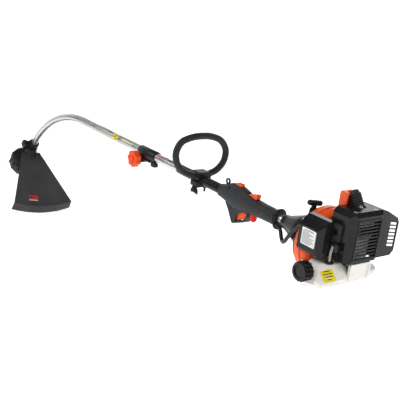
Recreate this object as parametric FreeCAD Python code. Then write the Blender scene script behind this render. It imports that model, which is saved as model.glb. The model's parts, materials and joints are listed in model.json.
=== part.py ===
import FreeCAD, Part

import math
import os

# A petrol string trimmer with a split, curved shaft. Millimetres.
# Every piece is modelled in the shaft frame: X runs along the straight shaft from the engine to the
# cutting head, Y points to the operator's left and Z is square to both. X = 0 is where the tube enters
# the clutch housing. The last section leans the shaft and sets the machine on the ground.

V = FreeCAD.Vector
ALONG = V(1, 0, 0)
LEFT = V(0, 1, 0)
UP = V(0, 0, 1)
ORIGIN = V(0, 0, 0)

# ---------------------------------------------------------------- driving dimensions
SHAFT_LEAN = 13.5            # degrees between the straight shaft and the ground
GROUND_BELOW = 109.0         # height of the shaft-frame origin over the ground
PLAY = 0.05                  # radial clearance of a running fit
GAP = 0.3                    # clearance between pieces that move past each other
SKIN = 2.5                   # wall of the moulded covers

TUBE_R = 12.0
TUBE_BORE_R = 10.5
TUBE_REAR_X = -30.0
TUBE_FRONT_X = 552.0
DRIVE_R = 4.0

BEND_START_X = 1020.0        # the lower tube leaves the straight line here
BEND_RADIUS = 535.0
BEND_ANGLE = 49.0            # degrees
LOWER_TUBE_REAR_X = 556.0
TAIL_LENGTH = 48.0           # straight end past the bend, held by the guard clamp

SLEEVE_R = 13.3
SLEEVE_X = (231.0, 428.0)
LOOP_X = 329.0               # middle of the loop handle's clamp
COUPLER_X = (545.0, 638.0)

CRANK_X = -214.0             # cylinder axis
CRANK_THROW = 13.0
BORE_R = 17.0
FLYWHEEL_R = 60.0
REEL_X = -105.0
REEL_PITCH_R = 22.0
GRIP_Y, GRIP_Z = 12.0, 64.0  # foot of the starter grip, at rest on the rope outlet
STARTER_STEM_R = 5.5
STARTER_BAR_R = 6.5
STARTER_BAR_REACH = 15.5         # from the stem to the middle of each rounded end

pieces = {}


# ---------------------------------------------------------------- small helpers
def box(x, y, z):
    return Part.makeBox(x[1] - x[0], y[1] - y[0], z[1] - z[0], V(x[0], y[0], z[0]))


def rod(radius, start, end):
    return Part.makeCylinder(radius, (end - start).Length, start, end - start)


def pipe(outer, inner, start, end):
    return rod(outer, start, end).cut(rod(inner, start, end))


def fuse(shapes):
    return shapes[0].multiFuse(shapes[1:]).removeSplitter() if len(shapes) > 1 else shapes[0]


def cut(shape, tools):
    return shape.cut(Part.makeCompound(tools))


def outline_face(points):
    return Part.Face(Part.makePolygon(points + points[:1]))


def turned(profile, centre=ORIGIN, axis=ALONG):
    """Turn (distance along the axis, radius) points about the axis through the centre."""
    face = outline_face([V(along, 0, radius) for along, radius in profile])
    solid = face.revolve(ORIGIN, ALONG, 360)
    solid.Placement = FreeCAD.Placement(centre, FreeCAD.Rotation(ALONG, axis))
    return solid


def plate(points, thickness):
    """Extrude a closed outline by the thickness vector."""
    return outline_face(points).extrude(thickness)


def edges_along(shape, direction, at_least=1.0):
    """Straight edges parallel to the direction."""
    found = []
    for edge in shape.Edges:
        if edge.Length > at_least and isinstance(edge.Curve, Part.Line):
            if abs(abs(edge.tangentAt(edge.FirstParameter).dot(direction)) - 1) < 1e-6:
                found.append(edge)
    return found


def soften(shape, radius, directions):
    """Round the straight edges that run along each direction."""
    for direction in directions:
        shape = shape.makeFillet(radius, edges_along(shape, direction))
    return shape


def above_ground(height):
    """A large block whose underside lies in a level plane, that height over the ground."""
    block = box((-900, 2200), (-400, 400), (0, 900))
    block.rotate(ORIGIN, LEFT, SHAFT_LEAN)
    block.translate(V(-math.sin(math.radians(SHAFT_LEAN)), 0,
                      -math.cos(math.radians(SHAFT_LEAN))) * (GROUND_BELOW - height))
    return block


def ring_of(shape, count, centre, axis, first_angle=0.0):
    """Copies of a shape spaced evenly about an axis."""
    copies = []
    for number in range(count):
        turned_copy = shape.copy()
        turned_copy.rotate(centre, axis, first_angle + number * 360.0 / count)
        copies.append(turned_copy)
    return copies


def lobed_disc(radius, lobes, lobe_r, start, end):
    """A knob: a disc with round lobes on its rim."""
    axis = (end - start).normalize()
    side = axis.cross(UP if abs(axis.z) < 0.9 else LEFT).normalize()
    shift = side * (radius - lobe_r)
    lobe = rod(lobe_r, start + shift, end + shift)
    return fuse([rod(radius - lobe_r * 0.6, start, end)] + ring_of(lobe, lobes, start, axis))


def socket_screw(under_head, axis, length, shank_r=2.5, head_r=4.2, head_h=4.5):
    """A socket screw; the axis points from the head to the tip."""
    direction = V(axis).normalize()
    head = rod(head_r, under_head - direction * head_h, under_head)
    shank = rod(shank_r, under_head, under_head + direction * length)
    socket_r = shank_r * 0.55
    recess = rod(socket_r, under_head - direction * head_h, under_head - direction * head_h * 0.4)
    return head.fuse(shank).cut(recess)


def rounded_path(points, label):
    """Straight runs joined by tangent arcs, as large as the runs allow."""
    edges = []
    last = points[0]
    radii = []
    for before, corner, after in zip(points, points[1:], points[2:]):
        into = (before - corner).normalize()
        out = (after - corner).normalize()
        half_turn = (math.pi - math.acos(max(-1.0, min(1.0, into.dot(out))))) / 2
        set_back = 0.45 * min((before - corner).Length, (after - corner).Length)
        radius = set_back / math.tan(half_turn)
        bisector = (into + out).normalize()
        middle = corner + bisector * (radius / math.cos(half_turn) - radius)
        start = corner + into * set_back
        end = corner + out * set_back
        edges.append(Part.LineSegment(last, start).toShape())
        edges.append(Part.Arc(start, middle, end).toShape())
        radii.append(round(radius, 1))
        last = end
    edges.append(Part.LineSegment(last, points[-1]).toShape())
    print(label, "bend radii", radii)
    return Part.Wire(edges)


def swept_tube(path, radius, label):
    """A round tube along a wire, with its volume compared with section times length."""
    start = path.Edges[0].Vertexes[0].Point
    tangent = path.Edges[0].tangentAt(path.Edges[0].FirstParameter)
    section = Part.Wire(Part.makeCircle(radius, start, tangent))
    solid = path.makePipeShell([section], True, False)
    expected = math.pi * radius * radius * path.Length
    print(label, "length", round(path.Length, 1), "volume ratio", round(solid.Volume / expected, 4))
    return solid


# ---------------------------------------------------------------- the curved line of the lower tube
BEND = math.radians(BEND_ANGLE)
BEND_CENTRE = V(BEND_START_X, 0, -BEND_RADIUS)
TAIL_START = BEND_CENTRE + V(math.sin(BEND), 0, math.cos(BEND)) * BEND_RADIUS
HEAD_AXIS = V(math.cos(BEND), 0, -math.sin(BEND))
HEAD_SIDE = V(-math.sin(BEND), 0, -math.cos(BEND))     # square to the head axis, towards the operator
TAIL_END = TAIL_START + HEAD_AXIS * TAIL_LENGTH


def on_head(along, side=0.0, left=0.0):
    """A point by its distance past the tube's tail, towards the operator, and to the left."""
    return TAIL_END + HEAD_AXIS * along + HEAD_SIDE * side + LEFT * left


def lower_line(rear_x, front):
    """The lower tube's centre line from rear_x to a distance past the tail."""
    mid = BEND / 2
    arc_middle = BEND_CENTRE + V(math.sin(mid), 0, math.cos(mid)) * BEND_RADIUS
    bend_start = V(BEND_START_X, 0, 0)
    return Part.Wire([
        Part.LineSegment(V(rear_x, 0, 0), bend_start).toShape(),
        Part.Arc(bend_start, arc_middle, TAIL_START).toShape(),
        Part.LineSegment(TAIL_START, on_head(front)).toShape(),
    ])


# ---------------------------------------------------------------- shaft and coupler
def build_shaft():
    pieces["upper_tube"] = pipe(TUBE_R, TUBE_BORE_R, V(TUBE_REAR_X, 0, 0), V(TUBE_FRONT_X, 0, 0))
    pieces["tube_sleeve"] = pipe(SLEEVE_R, TUBE_R + PLAY, V(SLEEVE_X[0], 0, 0), V(SLEEVE_X[1], 0, 0))
    rear, front = LOWER_TUBE_REAR_X, 0.0
    outer = swept_tube(lower_line(rear, front), TUBE_R, "lower tube")
    inner = swept_tube(lower_line(rear, front), TUBE_BORE_R, "lower tube bore")
    pieces["lower_tube"] = outer.cut(inner)
    pieces["flex_shaft"] = swept_tube(lower_line(rear + 6, -4.0), DRIVE_R, "flexible shaft")


COUPLER_R = 15.5
COUPLER_PIN_X = 566.0
COUPLER_PIN_R = 3.5
CLAMP_KNOB_X = 620.0
CLAMP_KNOB_Z = -21.0


def build_coupler():
    rear, front = COUPLER_X
    body = turned([(rear, 0), (rear, COUPLER_R - 2), (rear + 4, COUPLER_R), (front - 4, COUPLER_R),
                   (front, COUPLER_R - 2), (front, 0)])
    ridge = soften(box((COUPLER_PIN_X + 10, front - 2), (-10, 10), (-24, 0)), 4, [ALONG])
    ears = soften(box((CLAMP_KNOB_X - 14, front), (-15, 15), (-31, 0)), 5, [LEFT])
    boss = rod(9, V(COUPLER_PIN_X, 0, 0), V(COUPLER_PIN_X, 0, -19))
    tools = [rod(TUBE_R + PLAY, V(rear - 1, 0, 0), V(front + 1, 0, 0)),
             box((CLAMP_KNOB_X - 16, front + 1), (-1.5, 1.5), (-40, 0)),
             rod(3.0 + PLAY, V(CLAMP_KNOB_X, -30, CLAMP_KNOB_Z), V(CLAMP_KNOB_X, 30, CLAMP_KNOB_Z)),
             rod(COUPLER_PIN_R + PLAY, V(COUPLER_PIN_X, 0, 0), V(COUPLER_PIN_X, 0, -40))]
    pieces["coupler_body"] = cut(fuse([body, ridge, ears, boss]), tools)
    pieces["coupler_knob"] = coupler_knob()
    pieces["coupler_pin"] = coupler_pin()


def coupler_pin():
    """The sprung lock: a stem through the boss with a winged pull under it."""
    stem = rod(COUPLER_PIN_R, V(COUPLER_PIN_X, 0, -TUBE_R - 0.4), V(COUPLER_PIN_X, 0, -24))
    pull = soften(box((COUPLER_PIN_X - 17, COUPLER_PIN_X + 5), (-6, 6), (-32, -19 - GAP)), 3, [LEFT])
    return stem.fuse(pull)


def coupler_knob():
    """The lobed clamp knob with its bolt through the two ears."""
    disc = lobed_disc(25, 7, 6.5, V(CLAMP_KNOB_X, 24, CLAMP_KNOB_Z), V(CLAMP_KNOB_X, 42, CLAMP_KNOB_Z))
    hub = rod(8.5, V(CLAMP_KNOB_X, 15 + GAP, CLAMP_KNOB_Z), V(CLAMP_KNOB_X, 44, CLAMP_KNOB_Z))
    bolt = rod(3.0, V(CLAMP_KNOB_X, -20, CLAMP_KNOB_Z), V(CLAMP_KNOB_X, 24, CLAMP_KNOB_Z))
    nut = rod(5.5, V(CLAMP_KNOB_X, -20, CLAMP_KNOB_Z), V(CLAMP_KNOB_X, -15 - GAP, CLAMP_KNOB_Z))
    dish = turned([(38, 0), (38, 9), (45, 17), (45, 0)], V(CLAMP_KNOB_X, 0, CLAMP_KNOB_Z), LEFT)
    cap = rod(7, V(CLAMP_KNOB_X, 36, CLAMP_KNOB_Z), V(CLAMP_KNOB_X, 43, CLAMP_KNOB_Z))
    return fuse([disc.fuse(hub).cut(dish), cap, bolt, nut])


# ---------------------------------------------------------------- drive line inside the shaft
def build_drive():
    """The clutch drum with the upper drive shaft, turning in the housing."""
    drum = turned([(-96, 27.8), (-96, 30.8), (-72, 30.8), (-72, 10), (-44, 10), (-44, 0), (-75, 0),
                   (-75, 27.8)])
    pieces["clutch_drum"] = drum.cut(rod(DRIVE_R, V(-80, 0, 0), V(-40, 0, 0)))
    pieces["drive_shaft"] = rod(DRIVE_R, V(-74, 0, 0), V(TUBE_FRONT_X + 2, 0, 0))


def build_crank():
    """Crankshaft, flywheel and clutch shoes, which turn together."""
    half_gap = 6.5
    web_t = 7.0
    web_r = 21.5
    front_web = (CRANK_X + half_gap, CRANK_X + half_gap + web_t)
    rear_web = (CRANK_X - half_gap - web_t, CRANK_X - half_gap)
    shaft = [rod(6, V(front_web[0], 0, 0), V(-79, 0, 0)),
             rod(6, V(rear_web[0] - 14, 0, 0), V(rear_web[1], 0, 0))]
    webs = [rod(web_r, V(side[0], 0, 0), V(side[1], 0, 0)) for side in (front_web, rear_web)]
    pin = rod(4, V(rear_web[0], 0, CRANK_THROW), V(front_web[1], 0, CRANK_THROW))
    notch = [box((side[0] - 1, side[1] + 1), (-30, -13), (0, 30)) for side in (front_web, rear_web)]
    notch += [box((side[0] - 1, side[1] + 1), (13, 30), (0, 30)) for side in (front_web, rear_web)]
    pieces["crankshaft"] = fuse([cut(fuse(webs), notch)] + shaft + [pin])

    hub = turned([(-160, 6 + PLAY), (-160, 16), (-152, FLYWHEEL_R - 8), (-152, FLYWHEEL_R),
                  (-144, FLYWHEEL_R), (-144, 18), (-128, 16), (-128, 6 + PLAY)])
    blade = box((-144.5, -131), (-1.2, 1.2), (26, FLYWHEEL_R - 1))
    pieces["flywheel"] = fuse([hub] + ring_of(blade, 16, ORIGIN, ALONG))

    shoe = turned([(-94, 13), (-94, 27), (-80, 27), (-80, 13)])
    shoe = shoe.common(box((-95, -79), (-24, 24), (2, 30)))
    lower = shoe.mirror(ORIGIN, UP)
    arm = box((-93, -81), (-3.5, 3.5), (5, 14))
    carrier = pipe(9, 6 + PLAY, V(-94, 0, 0), V(-80, 0, 0))
    arms = [arm.cut(rod(6 + PLAY, V(-95, 0, 0), V(-79, 0, 0))), arm.mirror(ORIGIN, UP)]
    pieces["clutch_shoes"] = fuse([shoe, lower, carrier] + arms).cut(rod(6 + PLAY, V(-96, 0, 0),
                                                                         V(-78, 0, 0)))


# ---------------------------------------------------------------- recoil starter
def rope_line():
    """Tangent point on the reel and the direction of the pull."""
    grip = V(REEL_X, GRIP_Y, GRIP_Z)
    distance = math.hypot(GRIP_Y, GRIP_Z)
    angle = math.atan2(GRIP_Z, GRIP_Y) - math.acos(REEL_PITCH_R / distance)
    tangent = V(REEL_X, REEL_PITCH_R * math.cos(angle), REEL_PITCH_R * math.sin(angle))
    return tangent, grip, (grip - tangent).normalize()


def build_starter():
    tangent, foot, pull = rope_line()
    groove = REEL_PITCH_R - 2.0
    profile = [(-110.5, 6 + PLAY), (-110.5, 36), (-108.5, 36), (-107, groove), (-103, groove),
               (-101.5, 36), (-99.5, 36), (-99.5, 6 + PLAY)]
    pieces["recoil_reel"] = turned(profile)
    rope_start = tangent + pull * 18.0
    pieces["starter_rope"] = rod(1.6, rope_start, foot + pull * 1.0)
    bar_top = foot + pull * 13.0
    neck = Part.makeCone(6.0, STARTER_STEM_R, 8.0, foot, pull)
    reach = pull.cross(ALONG).normalize() * STARTER_BAR_REACH
    bar = [rod(STARTER_BAR_R, bar_top - reach, bar_top + reach)]
    bar += [Part.makeSphere(STARTER_BAR_R, end) for end in (bar_top - reach, bar_top + reach)]
    grip = fuse([neck, rod(STARTER_STEM_R, foot, bar_top)] + bar)
    pieces["starter_grip"] = grip.cut(rod(1.6 + PLAY, foot - pull, foot + pull * 1.0))


# ---------------------------------------------------------------- clutch housing and fan shroud
HOUSING_SCREW_R = 65.0
SHROUD_R = 79.0


def build_clutch_housing():
    outer = [(-13, 0), (-13, 16.5), (-26, 18.5), (-72, 36), (-100, 41.5), (-116, 44), (-118, 60),
             (-118, 71.5),
             (-125, 71.5), (-125, 0)]
    body = turned(outer)
    cavity = turned([(-40, 0), (-42, 14), (-70, 31.5), (-97, 33), (-97, 38.3), (-112.5, 38.3),
                     (-112.5, 41), (-121, 55), (-126, 55), (-126, 0)])
    tangent, foot, pull = rope_line()
    outlet = rod(8, foot - pull * 26, foot - pull * GAP)
    rib = plate([V(-40, -2, 20), V(-112, -2, 44), V(-118, -2, 70), V(-118, -2, 40), V(-40, -2, 10)],
                V(0, 4, 0))
    ribs = ring_of(rib, 6, ORIGIN, ALONG, 30)
    tools = [cavity, rod(TUBE_R, V(3, 0, 0), V(-30, 0, 0)), rod(7, V(-29, 0, 0), V(-41, 0, 0)),
             rod(2.6, foot - pull * 60, foot + pull)]
    tools += ring_of(rod(2.6, V(-130, 0, HOUSING_SCREW_R), V(-110, 0, HOUSING_SCREW_R)), 4, ORIGIN, ALONG, 45)
    tools.append(swept_tube(cable_path(), CABLE_R + GAP, "cable notch"))
    pieces["clutch_housing"] = cut(fuse([body, outlet] + ribs), tools)
    screw = socket_screw(V(-118, 0, HOUSING_SCREW_R), V(-1, 0, 0), 12)
    pieces["socket_screws"] = Part.makeCompound(ring_of(screw, 4, ORIGIN, ALONG, 45))


def build_fan_shroud():
    """The orange ring round the flywheel, with the duct that turns the air up to the cylinder."""
    ring = turned([(-125, SHROUD_R - 4), (-130, SHROUD_R), (-164, SHROUD_R), (-172, SHROUD_R - 5), (-172, 40),
                   (-169, 40), (-169, SHROUD_R - 7), (-162, SHROUD_R - 4), (-133, SHROUD_R - 4),
                   (-129, SHROUD_R - 7), (-129, 57), (-125, 57)])
    slot = box((-130, -120), (-1.6, 1.6), (SHROUD_R - 6.5, SHROUD_R + 5))
    bead = turned([(-143, SHROUD_R - 1), (-143, SHROUD_R + 1.5), (-147, SHROUD_R + 1.5),
                   (-147, SHROUD_R - 1)])
    bosses = ring_of(rod(6, V(-125, 0, HOUSING_SCREW_R), V(-136, 0, HOUSING_SCREW_R)), 4, ORIGIN, ALONG, 45)
    duct_outer = soften(box((COVER_X[1] + GAP, -168), (-26, 9), (66, 126)), 4, [LEFT, UP])
    duct_inner = box((-200, -171.5), (-22, 5), (72, 121))
    drum = rod(SHROUD_R - 4, V(-133, 0, 0), V(-169, 0, 0))
    sole = rod(SHROUD_R, V(-133, 0, 0), V(-168, 0, 0)).cut(above_ground(4.0))
    shroud = fuse([ring, bead, duct_outer, sole] + bosses).common(above_ground(0))
    tools = [duct_inner, drum.common(duct_outer)]
    tools += ring_of(slot, 36, ORIGIN, ALONG)
    tools += ring_of(rod(2.6, V(-140, 0, HOUSING_SCREW_R), V(-110, 0, HOUSING_SCREW_R)), 4, ORIGIN, ALONG, 45)
    boot_room = rod(BOOT_R + 1, plug_point(8), plug_point(52))
    tools += [boot_room, filter_hull(-GAP), swept_tube(cable_path(), CABLE_R + GAP, "cable notch")]
    pieces["fan_shroud"] = cut(shroud, tools)


# ---------------------------------------------------------------- engine
def build_engine_core():
    chamber = (CRANK_X - 16, CRANK_X + 16)
    case = fuse([
        rod(28, V(chamber[0] - 8, 0, 0), V(-172, 0, 0)),
        box((CRANK_X - 24, CRANK_X + 24), (-27, 27), (0, 37)),
        box((CRANK_X + 4, -176), (-34, 10), (-32.5, -20)),
        rod(19, V(-172, 0, 0), V(-162, 0, 0)),
    ])
    tools = [rod(23, V(chamber[0], 0, 0), V(chamber[1], 0, 0)), rod(6 + PLAY, V(-240, 0, 0), V(-160, 0, 0)),
             rod(BORE_R, V(CRANK_X, 0, 0), V(CRANK_X, 0, 38)), rod(23, V(-199, 0, 0), V(-178, 0, 0))]
    pieces["crankcase"] = cut(case, tools)

    barrel = rod(BORE_R + 4, V(CRANK_X, 0, 37), V(CRANK_X, 0, 92))
    fins = []
    for level in range(8):
        low = 44.0 + level * 6.2
        fin = soften(box((CRANK_X - 30, CRANK_X + 19), (-31, 31), (low, low + 1.8)), 6, [UP])
        fins.append(fin)
    intake = box((CRANK_X - 10, CRANK_X + 10), (20, 37), (46, 66))
    exhaust = box((CRANK_X - 10, CRANK_X + 10), (-56, -20), (50, 68))
    plug_boss = rod(PLUG_BOSS_R, plug_point(-10), plug_point(6))
    cylinder = fuse([barrel, intake, exhaust, plug_boss] + fins)
    tools = [rod(BORE_R, V(CRANK_X, 0, 36), V(CRANK_X, 0, 86)),
             rod(7, V(CRANK_X, 15, 56), V(CRANK_X, 38, 56)),
             rod(6, V(CRANK_X, -57, 59), V(CRANK_X, -15, 59)),
             rod(5, plug_point(-12), plug_point(8))]
    pieces["cylinder"] = cut(cylinder, tools)

    pin_z = 56.0
    piston = rod(BORE_R - PLAY, V(CRANK_X, 0, 46), V(CRANK_X, 0, 80))
    hollow = rod(BORE_R - 3, V(CRANK_X, 0, 45), V(CRANK_X, 0, 75))
    wrist = rod(4, V(CRANK_X, -BORE_R + 1, pin_z), V(CRANK_X, BORE_R - 1, pin_z))
    wrist.rotate(V(CRANK_X, 0, pin_z), UP, 90)
    grooves = [pipe(BORE_R + 1, BORE_R - 1.2, V(CRANK_X, 0, low), V(CRANK_X, 0, low + 1.2)) for low in (73,
                                                                                                        76.5)]
    pieces["piston"] = cut(piston.cut(hollow), grooves).fuse(wrist)
    rod_foot = CRANK_THROW + 4 + 1.0
    blade = box((CRANK_X - 2.5, CRANK_X + 2.5), (-4.5, 4.5), (rod_foot, pin_z))
    eye = rod(7, V(CRANK_X - 4, 0, pin_z), V(CRANK_X + 4, 0, pin_z))
    saddle = box((CRANK_X - 4, CRANK_X + 4), (-8, 8), (rod_foot, rod_foot + 5))
    pieces["connecting_rod"] = fuse([blade, eye, saddle]).cut(rod(4 + PLAY, V(CRANK_X - 6, 0, pin_z),
                                                                  V(CRANK_X + 6, 0, pin_z)))


PLUG_LEAN = math.radians(34)
PLUG_BOSS_R = 8.6
BOOT_R = 12.5


def plug_point(distance):
    """A point on the spark plug's axis, which leans towards the front."""
    return V(CRANK_X, -12, 92) + V(math.sin(PLUG_LEAN), 0, math.cos(PLUG_LEAN)) * distance


def build_plug():
    pieces["spark_plug"] = fuse([rod(4.9, plug_point(-8), plug_point(6)),
                                 rod(8.5, plug_point(8), plug_point(13)),
                                 rod(4.9, plug_point(5), plug_point(20)),
                                 rod(2.5, plug_point(20), plug_point(34))])
    axis = (plug_point(1) - plug_point(0))
    profile = [(10, 0), (10, 12), (14, 12)]
    for rib in range(5):
        along = 14 + rib * 5.0
        profile += [(along, 11), (along + 1, BOOT_R), (along + 3.4, BOOT_R), (along + 4.4, 11)]
    profile += [(40, 10), (46, 8), (48, 0)]
    boot = turned(profile, plug_point(0), axis)
    tools = [rod(9 + PLAY, plug_point(9), plug_point(13.5)), rod(5 + PLAY, plug_point(9), plug_point(20.5)),
             rod(2.5 + PLAY, plug_point(9), plug_point(34.5))]
    pieces["spark_plug_boot"] = cut(boot, tools)


COVER_X = (-252.0, -191.0)
COVER_Y = (-49.0, 45.0)
COVER_Z = (-7.0, 102.0)


def build_cylinder_cover():
    """The black shell over the cylinder, with louvres across its rear face."""
    rear, front = COVER_X
    right, left = COVER_Y
    low, high = COVER_Z

    def hull(inset):
        opened = 1 if inset else 0
        ahead, below = front + opened, low - opened
        plan = [V(rear + inset, left - 12, below), V(rear + inset, right + 8, below),
                V(rear + 10, right + inset, below), V(ahead, right + inset, below),
                V(ahead, left - inset, below),
                V(rear + 13 + inset / 2, left - inset, below)]
        tall = plate(plan, V(0, 0, high - inset - below))
        bevel = plate([V(rear - 1, right - 1, high + 1), V(rear - 1, right - 1, high - 9 - inset),
                       V(rear + 10 + inset, right - 1, high + 1)], V(0, left - right + 2, 0))
        side_bevel = plate([V(rear - 1, left + 1, high + 1), V(rear - 1, left + 1, high - 12 - inset),
                            V(rear - 1, left - 12 - inset, high + 1)], V(front - rear + 2, 0, 0))
        return tall.cut(bevel).cut(side_bevel)

    shell = soften(hull(0), 3, [UP]).cut(hull(SKIN))
    louvre = box((rear - 2, rear + 6), (-36, 27), (0, 4.4))
    louvres = []
    for row in range(11):
        slot = louvre.copy()
        slot.translate(V(0, 0, 3 + row * 7.4))
        louvres.append(slot)
    frame = box((rear - 1.5, rear + 1), (-40, 31), (-1, 87)).cut(box((rear - 2, rear + 2), (-37.5, 28.5),
                                                                     (1.5, 84.5)))
    plug_way = rod(14.5, plug_point(-5), plug_point(30))
    carburettor_way = box((-226 - GAP, front + 1), (left - 5, left + 5), (24, 71))
    exhaust_way = box((CRANK_X - 11, CRANK_X + 11), (right - 5, right + 5), (49, 69))
    pieces["cylinder_cover"] = cut(shell.fuse(frame), louvres + [plug_way, carburettor_way, exhaust_way])


def build_exhaust():
    muffler = soften(box((-236, -190), (-82, -56 - GAP), (6, 82)), 7, [UP, LEFT])
    outlet = rod(6, V(-206, -80, 18), V(-206, -94, 18))
    hollow = soften(box((-234, -192), (-80, -58.5), (8, 80)), 5, [UP])
    pieces["muffler"] = fuse([muffler, outlet]).cut(hollow).cut(rod(4.5, V(-206, -79, 18), V(-206, -95, 18)))

    rear, front = -242.0, -196.0
    right, left = -111.0, -50.0
    low, high = -9.0, 95.0
    side = [V(rear, left, low), V(rear, left, high + 6), V(rear, left - 20, high),
            V(rear, right + 6, high - 18),
            V(rear, right, high - 28), V(rear, right, low + 10), V(rear, right + 10, low)]
    outer = plate(side, V(front - rear, 0, 0))
    inner_side = [V(rear, left + 1, low + SKIN), V(rear, left + 1, high + 3), V(rear, left - 19, high - SKIN),
                  V(rear, right + 7, high - 18 - SKIN), V(rear, right + SKIN, high - 29),
                  V(rear, right + SKIN, low + 11), V(rear, right + 11, low + SKIN)]
    inner = plate(inner_side, V(front - rear, 0, 0))
    inner.translate(V(SKIN, 0, 0))
    slots = []
    for row in range(7):
        low_z = 11 + row * 8.2
        slots.append(plate([V(rear - 1, -107, low_z), V(rear - 1, -107, low_z + 5.4),
                            V(rear - 1, -84, low_z + 9.0),
                            V(rear - 1, -84, low_z + 3.6)], V(5, 0, 0)))
    side_window = box((rear + 5, front + 1), (right - 1, right + 4), (low + 14, high - 32))
    pieces["muffler_guard"] = cut(outer.cut(inner), slots + [side_window])


FILTER_X = (-206.0, -143.0)
FILTER_Y = (46.0, 86.0)
FILTER_Z = (-6.0, 73.0)
WHEEL_ROOM_X = (-164.0, -120.0)


CHOKE_PIVOT = V(-214, 52, 28)


def filter_hull(inset):
    """The filter cover's outline, drawn in by the inset: its sides above, below and on the left."""
    x, y, z = FILTER_X, FILTER_Y, FILTER_Z
    side = [V(x[0], y[0], z[0] + 4 + inset), V(x[0], y[0], z[1] - inset), V(x[0], y[0] + 18, z[1] - inset),
            V(x[0], y[1] - inset, z[1] - 22), V(x[0], y[1] - inset, z[0] + 6),
            V(x[0], y[1] - 6, z[0] + inset)]
    return plate(side, V(x[1] - x[0], 0, 0))


def wheel_room():
    """The space kept clear for the flywheel and its air."""
    return rod(FLYWHEEL_R + 6, V(WHEEL_ROOM_X[0], 0, 0), V(WHEEL_ROOM_X[1], 0, 0))


def build_intake():
    throat = rod(8, V(CRANK_X + 3, 40, 52), V(CRANK_X + 3, 55, 52))
    body = soften(box((CRANK_X - 12, CRANK_X + 22), (37 + GAP, 50), (34, 70)), 3, [LEFT])
    bowl = soften(box((CRANK_X - 4, CRANK_X + 14), (37 + GAP, 50), (24.4, 36)), 2, [UP])
    choke_bore = rod(1.5 + PLAY, CHOKE_PIVOT - LEFT * 9, CHOKE_PIVOT + LEFT * 3)
    pieces["carburettor"] = cut(fuse([body, bowl]), [throat, choke_bore])

    x, y, z = FILTER_X, FILTER_Y, FILTER_Z
    filter_front = WHEEL_ROOM_X[0] - 1.0
    pieces["air_filter_base"] = cut(box((x[0] + 4, filter_front), (51, 55), (z[0] + 8, z[1] - 8)),
                                    [rod(9, V(-196, 50, 40), V(-196, 56, 40))])
    pieces["air_filter_foam"] = soften(box((x[0] + 9, filter_front), (55 + GAP, 72),
                                           (z[0] + 10, z[1] - 18)), 6, [LEFT])

    rear_bevel = plate([V(x[0] - 1, y[1] + 1, -30), V(x[0] + 10, y[1] + 1, -30), V(x[0] - 1, y[1] - 14, -30)],
                       V(0, 0, 130))
    outer = soften(filter_hull(0).cut(rear_bevel), 3, [ALONG])
    inner = filter_hull(SKIN).common(box((x[0] + SKIN, x[1] - SKIN), (y[0] - 1, y[1] - SKIN), (-40, 100)))
    inner_bevel = rear_bevel.copy()
    inner_bevel.translate(V(SKIN * 1.2, -SKIN, 0))
    carburettor_notch = box((x[0] - 1, -190), (y[0] - 1, 50 + GAP), (24, 71))
    pieces["air_filter_cover"] = cut(outer, [inner.cut(inner_bevel), wheel_room(), carburettor_notch])

    arm = soften(box((-228, -211), (51, 54), (23, 32)), 2, [LEFT])
    tab = soften(box((-231, -225), (51, 60), (14, 31)), 2, [LEFT])
    pieces["choke_lever"] = fuse([arm, tab, rod(1.5, CHOKE_PIVOT - LEFT * 8, CHOKE_PIVOT)])


# ---------------------------------------------------------------- fuel tank
TANK_TOP_Z = -33.0
SHOULDER_Z = -17.0
CAP_CENTRE = V(-186, 86, -38)
CAP_R = 22.0
HOSE_X, HOSE_Y = -210.5, 52.0


def tank_form(inset):
    """The tank's body, drawn in by the inset: a plan outline under a shouldered roof."""
    plan = [V(-246 + inset, 100 - inset, -140), V(-222, 100 - inset, -140), V(-216, 84 - inset, -140),
            V(-158 - inset, 84 - inset, -140), V(-150 - inset, 20, -140), V(-150 - inset, -70, -140),
            V(-160, -80 + inset, -140),
            V(-206, -80 + inset, -140), V(-240 + inset, -66, -140)]
    roof = [V(-300, 120, -140), V(-300, 120, -62), V(-300, 66 - inset / 2, SHOULDER_Z - inset),
            V(-300, 26 + inset, SHOULDER_Z - inset), V(-300, 12 + inset, TANK_TOP_Z - inset),
            V(-300, -77 + inset, TANK_TOP_Z - inset), V(-300, -33 + inset, -60), V(-300, -33 + inset, -140)]
    rear = [V(-246 + inset, -200, -140), V(-246 + inset, -200, -44), V(-221 + inset, -200, SHOULDER_Z),
            V(-100, -200, SHOULDER_Z), V(-100, -200, -140)]
    body = plate(plan, V(0, 0, 140)).common(plate(roof, V(250, 0, 0))).common(plate(rear, V(0, 400, 0)))
    return body.common(above_ground(inset))


def shroud_room(inset):
    """The round hollow in the tank's front that the fan shroud sits in."""
    return rod(SHROUD_R + 2.5 + inset, V(-174 - inset, 0, 0), V(-100, 0, 0))


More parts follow.
